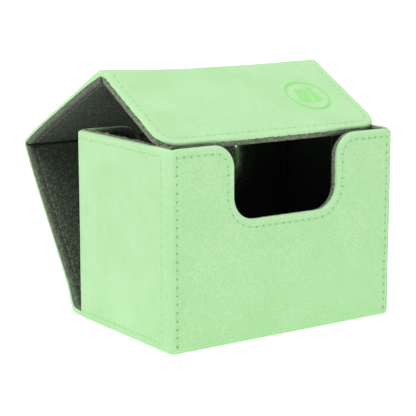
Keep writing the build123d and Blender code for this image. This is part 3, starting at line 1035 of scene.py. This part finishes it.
def leather_material():
    """Mint leatherette with a suede touch: broad patches, grain, nap, more grain contrast on the
    front, and painted shade.
    """
    m = Nodes("mint_leatherette")
    rest = m.attribute("rest", "Vector")
    broad = m.noise(rest, 0.055, 4.0)
    patch = m.noise(rest, 0.33)
    grain = m.noise(rest, 2.1)
    nap = m.noise(rest, 4.2)
    grit = m.layer(grain, 0.38, 0.62, 1.0, GRIT_LIGHT, GRIT_DARK)
    tone = m.layer(broad, 0.38, 0.62, 1.0, MINT_DARK, MINT_LIGHT)
    tone = m.layer(patch, 0.3, 0.7, 0.35, tone, MINT_SPOT)
    tone = m.layer(grain, 0.42, 0.62, 0.58, tone, MINT_FLECK)
    tone = m.layer(nap, 0.42, 0.62, 0.42, tone, MINT_NAP)
    tone = m.tint("front_grain", 0.45, tone, grit)
    tone = m.tint("margin", 0.35, tone, MINT_MARGIN)
    # The badge's pressed colour, and painted shade on the rear notch's sides.
    tone = m.tint("pressed_and_notch_shade", 0.9, tone, MINT_PRESSED_AND_SHADE)
    # Painted shade: dark green in needle holes, along the front's and the flap's turned-over
    # edges, and where the rear notch's edge curves round.
    tone = m.layer(m.attribute("pit_and_shade"), 0.12, 0.75, 1.0, tone, MINT_PAINTED_SHADE)
    normal = m.bump(patch, 0.25, 0.0004)
    normal = m.bump(grain, 0.35, 0.0003, normal)
    normal = m.bump(nap, 0.4, 0.0002, normal)
    return m.finish(Base_Color=tone, Normal=normal, Specular_IOR_Level=0.2,
                    Roughness=m.span(nap, 0.2, 0.8, 0.82, 0.95),
                    Sheen_Weight=0.08, Sheen_Roughness=0.5, Sheen_Tint=MINT_SHEEN)


def lining_material():
    """Dark suede with light fibres, lighter at its cut edges, and painted shade down in the
    well, in its corners and in needle holes.
    """
    m = Nodes("suede_lining")
    rest = m.attribute("rest", "Vector")
    broad = m.noise(rest, 0.09, 4.0)
    grain = m.noise(rest, 0.85, 4.0, 0.7)
    nap = m.noise(rest, 1.9, 4.0, 0.7)
    edge = m.layer(grain, 0.38, 0.64, 1.0, EDGE_DARK, EDGE_LIGHT)
    tone = m.layer(broad, 0.35, 0.65, 1.0, SUEDE_DARK, SUEDE_LIGHT)
    tone = m.layer(grain, 0.44, 0.6, 0.85, tone, SUEDE_FIBRE)
    tone = m.layer(nap, 0.45, 0.57, 0.8, tone, SUEDE_DOT)
    tone = m.tint("margin", 0.85, tone, edge)
    # Painted shade, darker down the well.
    tone = m.tint("well", 0.93, tone, SUEDE_WELL_SHADE)
    # Painted shade: near black in needle holes and the well's corners.
    tone = m.layer(m.attribute("pit_and_shade"), 0.12, 0.7, 1.0, tone, SUEDE_PAINTED_SHADE)
    normal = m.bump(grain, 0.6, 0.0005)
    normal = m.bump(nap, 0.6, 0.0003, normal)
    return m.finish(Base_Color=tone, Normal=normal, Specular_IOR_Level=0.1,
                    Roughness=m.span(nap, 0.2, 0.8, 0.85, 1.0),
                    Sheen_Weight=0.06, Sheen_Roughness=0.6)


def thread_material(name, light, dark):
    """Twisted thread."""
    m = Nodes(name)
    twist = m.add("ShaderNodeTexWave", "Fac", {
        "Vector": m.attribute("rest", "Vector"), "Scale": 1.6, "Distortion": 1.5},
        bands_direction="DIAGONAL")
    return m.finish(Base_Color=m.mix(twist, dark, light), Normal=m.bump(twist, 0.5, 0.0001),
                    Roughness=0.6, Sheen_Weight=0.2, Specular_IOR_Level=0.3)


def board_material():
    """Grey board with paper fibres and specks."""
    m = Nodes("grey_board")
    place = m.place()
    fibre = m.noise(place, 900.0, 5.0, 0.7)
    speck = m.noise(place, 4200.0, 2.0, 0.5)
    tone = m.layer(fibre, 0.3, 0.7, 1.0, BOARD_DARK, BOARD_LIGHT)
    tone = m.layer(speck, 0.62, 0.72, 1.0, tone, BOARD_SPECK)
    return m.finish(Base_Color=tone, Normal=m.bump(fibre, 0.3, 0.0001), Roughness=0.9)


def magnet_material():
    """Nickel plating with a faint haze."""
    m = Nodes("nickel")
    haze = m.noise(m.place(), 1500.0)
    return m.finish(Base_Color=m.layer(haze, 0.3, 0.7, 1.0, NICKEL_DARK, NICKEL_LIGHT),
                    Roughness=m.span(haze, 0.3, 0.7, 0.18, 0.32), Metallic=1.0)


def floor_material():
    """A pale studio floor that glows a little."""
    m = Nodes("pale_floor")
    faint = m.noise(m.place(), 3.0, 2.0, 0.5)
    return m.finish(Base_Color=m.layer(faint, 0.3, 0.7, 1.0, FLOOR_DARK, FLOOR_LIGHT),
                    Roughness=0.9, Emission_Strength=0.33, Emission_Color=WHITE,
                    Specular_IOR_Level=0.1)


leather = leather_material()
suede = lining_material()
green_thread = thread_material("green_thread", (0.50, 0.82, 0.44), (0.43, 0.76, 0.37))
grey_thread = thread_material("grey_thread", (0.24, 0.25, 0.215), (0.12, 0.13, 0.11))
# Painted darker, as shade inside the well.
well_shade_thread = thread_material("well_shade_thread", (0.035, 0.038, 0.032), (0.015, 0.017, 0.014))
grey_board = board_material()
nickel = magnet_material()


# -------- pieces
def coat(thing, finish):
    thing.data.materials.clear()
    thing.data.materials.append(finish)


def dress(piece, finish):
    coat(piece, finish)
    return piece


def fix(piece, finish, slot_name, body, *nodes):
    """A piece on one body, with its material and the CAD nodes that it stands for."""
    dress(piece, finish)
    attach(piece, body)
    if nodes:
        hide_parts(*nodes)


def blend_over(piece):
    """Bakes a piece's placement into its mesh."""
    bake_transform(piece)


fix(box_skin(), leather, "outer_leather", "box", "body_leather")
fix(box_lining(), suede, "suede_lining", "box",
    "front_lining", "rear_lining", "left_lining", "right_lining")
fix(well_floor(), suede, "suede_lining", "box", "floor_lining")

strips = (
    ("rear", START_U, MID_BACK, "rear_hinge", ("base", "rear_fold", "back")),
    ("top", MID_BACK, MID_TOP, "top_fold", ("top_fold", "top")),
    ("front", MID_TOP, END_U, "flap_fold", ("flap_fold", "flap")),
)
for k, (label, start, end, joint_name, stands_for) in enumerate(strips):
    outer = cover_strip(f"cover_{label}_skin", start, end, cover_skin_profile, True)
    dress(outer, leather)
    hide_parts(*[f"{n}_leather" for n in stands_for])
    blend_over(outer)
    start = max(start, LINING_START_U)
    inner = cover_strip(f"cover_{label}_lining", start, end, cover_lining_profile, False)
    dress(inner, suede)
    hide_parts(*[f"{n}_lining" for n in stands_for if n != "base"])
    blend_over(inner)

wall_seams = (("front", seam_lines[:1]), ("rear", seam_lines[1:2]), ("left", seam_lines[2:3]),
              ("right", seam_lines[3:]))
for label, lines in wall_seams:
    piece = thread_piece(f"{label}_stitches", lines, box_place, GROOVE, -1)
    fix(piece, green_thread, "thread", "box", f"{label}_stitching")
bodies = {"back": "cover_back", "top": "cover_top", "flap": "flap"}
for label, lines in panel_seams.items():
    piece = thread_piece(f"{label}_stitches", lines, cover_place, FOLD_DEPTH - GROOVE, 1)
    fix(piece, green_thread, "thread", bodies[label], f"{label}_stitching")
    level = FOLD_DEPTH - WALL + GROOVE
    piece = thread_piece(f"{label}_bobbin", lines, cover_place, level, -1)
    fix(piece, grey_thread, "thread", bodies[label])
for label, lines in wall_seams[:2]:
    piece = thread_piece(f"{label}_bobbin", lines, box_place, WALL - GROOVE, 1)
    fix(piece, well_shade_thread, "thread", "box")

for label, start, end in (("back", BOARD_MARGIN, FOLD_U[1] - FOLD_REACH),
                          ("top", FOLD_U[1] + FOLD_REACH, FOLD_U[2] - FOLD_REACH),
                          ("flap", FOLD_U[2] + FOLD_REACH, END_U - FLAP_CORNER)):
    fix(cover_board(f"{label}_panel_board", start, end), grey_board, "grey_board",
        bodies[label], f"{label}_board")

for node, thing in frame["nodes"].items():
    if node.endswith("_board"):
        coat(thing, grey_board)
    elif node.endswith("_magnets"):
        coat(thing, nickel)


# -------- stage, in metres
FLOOR_WIDTH = 3.0  # to each side
FLOOR_REACH = 2.2
BACKDROP_RISE = 2.4
BACKDROP_CURVE = 0.5
WORLD_LIGHT = 0.5


def stage_floor():
    """A pale floor that rises into a plain backdrop."""
    centre = (FLOOR_REACH - BACKDROP_CURVE, BACKDROP_CURVE)
    profile = [(-FLOOR_REACH, 0.0), *arc(centre, BACKDROP_CURVE, -90, 0, 9),
               (FLOOR_REACH, BACKDROP_RISE)]
    verts = [(side * FLOOR_WIDTH, y, z) for y, z in profile for side in (-1, 1)]
    faces = [(i, i + 1, i + 3, i + 2) for i in range(0, len(verts) - 2, 2)]
    mesh = bpy.data.meshes.new("floor")
    mesh.from_pydata(verts, [], faces)
    mesh.shade_smooth()
    mesh.materials.append(floor_material())
    made = bpy.data.objects.new("floor", mesh)
    bpy.context.scene.collection.objects.link(made)


def aim(thing, place, direction):
    """Puts a light or the camera in place and turns it."""
    thing.location = place
    thing.rotation_mode = "QUATERNION"
    thing.rotation_quaternion = direction.to_track_quat("-Z", "Y")
    bpy.context.scene.collection.objects.link(thing)


def area_light(name, place, target, size, power):
    """A square area light in metres and watts."""
    lamp = bpy.data.lights.new(name, "AREA")
    lamp.size = size
    lamp.energy = power
    aim(bpy.data.objects.new(name, lamp), Vector(place), Vector(target) - Vector(place))


stage_floor()
area_light("key", (-0.4, -0.3, 1.6), (0, 0, 0.03), 1.2, 17.9)
area_light("fill", (-1.2, -0.4, 0.5), (0, 0, 0.04), 1.0, 0.1)
world = bpy.data.worlds.new("studio")
world.use_nodes = True
backdrop = world.node_tree.nodes["Background"]
backdrop.inputs["Color"].default_value = (*WHITE, 1.0)
backdrop.inputs["Strength"].default_value = WORLD_LIGHT
bpy.context.scene.world = world
bpy.context.scene.view_settings.view_transform = "Standard"

# -------- camera
AZIMUTH = -34.82
ELEVATION = 10.82
LENS = 122.87
SENSOR = 36.0
DISTANCE = 517.4  # millimetres, as are the next two
ACROSS = -28.38
UP = 45.69

az, el = math.radians(AZIMUTH), math.radians(ELEVATION)
back = Vector((math.sin(az) * math.cos(el), -math.cos(az) * math.cos(el), math.sin(el)))
right = Vector((math.cos(az), math.sin(az), 0))
up = back.cross(right)
target = Vector((0, leather_low.y, 0))
camera = bpy.data.objects.new("camera", bpy.data.cameras.new("camera"))
camera.data.lens = LENS
camera.data.sensor_width = SENSOR
camera.data.clip_start = 0.01
camera.data.clip_end = 20.0
aim(camera, target + (right * ACROSS + up * UP + back * DISTANCE) * MM, -back)
bpy.context.scene.camera = camera
